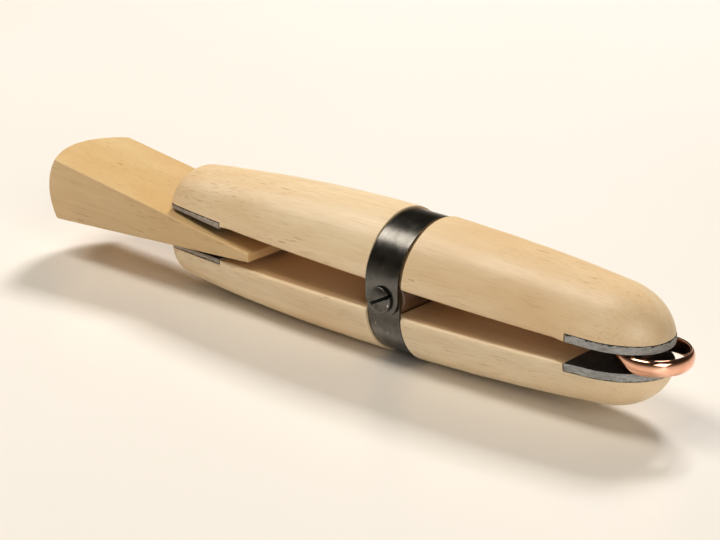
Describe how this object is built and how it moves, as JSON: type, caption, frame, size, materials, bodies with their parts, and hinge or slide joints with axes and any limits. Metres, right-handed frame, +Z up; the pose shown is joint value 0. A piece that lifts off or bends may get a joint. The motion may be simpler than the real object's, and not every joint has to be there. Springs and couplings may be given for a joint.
{
  "type": "wooden ring clamp",
  "caption": "Hand-held wooden ring clamp: two half-round jaws pivot on a dowel inside a steel strap, with leather pads, a driving wedge and a copper ring in its grip.",
  "frame": {"origin": "middle of the narrow flat on the lower jaw's belly that the clamp rests on", "axes": "+X along the clamp towards the grip pads and the ring, +Y across to the far side, +Z up, square to the split between the jaws"},
  "size_m": [0.197, 0.0311, 0.0352],
  "materials": {
    "jaw_wood": "fine sanded, lightly sealed pale maple",
    "wedge_wood": "fine sanded, unsealed maple, a little warmer than the jaws",
    "dowel_wood": "plain brown hardwood dowel",
    "pad_leather": "dark face, grey fibrous cut edges",
    "black_steel": "blackened, satin",
    "screw_steel": "blackened, satin, worn bright on the rim",
    "copper": "polished copper"
  },
  "bodies": {
    "lower_jaw": {"lower_jaw": "jaw_wood", "lower_grip_pad": "pad_leather", "lower_wedge_pad": "pad_leather"},
    "upper_jaw": {"upper_jaw": "jaw_wood", "upper_grip_pad": "pad_leather", "upper_wedge_pad": "pad_leather"},
    "fulcrum": {"fulcrum_dowel": "dowel_wood", "strap": "black_steel", "near_screw": "screw_steel", "far_screw": "screw_steel"},
    "wedge": {"wedge": "wedge_wood"},
    "ring": {"clamped_ring": "copper"}
  },
  "joints": [
    {"name": "wedge_slide", "type": "slide", "parent": "lower_jaw", "child": "wedge", "axis": [-0.9978, 0, -0.067], "range_m": [0, 0.03]},
    {"name": "jaw_rock", "type": "hinge", "parent": "lower_jaw", "child": "upper_jaw", "pos_m": [0.02, 0, 0.01736], "axis": [0, 1, 0], "range_deg": [-4.5, 0]},
    {"name": "strap_rock", "type": "hinge", "parent": "lower_jaw", "child": "fulcrum", "pos_m": [0.02, 0, 0.01736], "axis": [0, 1, 0], "range_deg": [-2.25, 0]},
    {"name": "ring_slide", "type": "slide", "parent": "lower_jaw", "child": "ring", "axis": [1, 0, 0], "range_m": [0, 0.018]}
  ],
  "couplings": [
    {"joint": "jaw_rock", "follows": "wedge_slide", "rad_per_m": -2.6},
    {"joint": "strap_rock", "follows": "wedge_slide", "rad_per_m": -1.3}
  ]
}
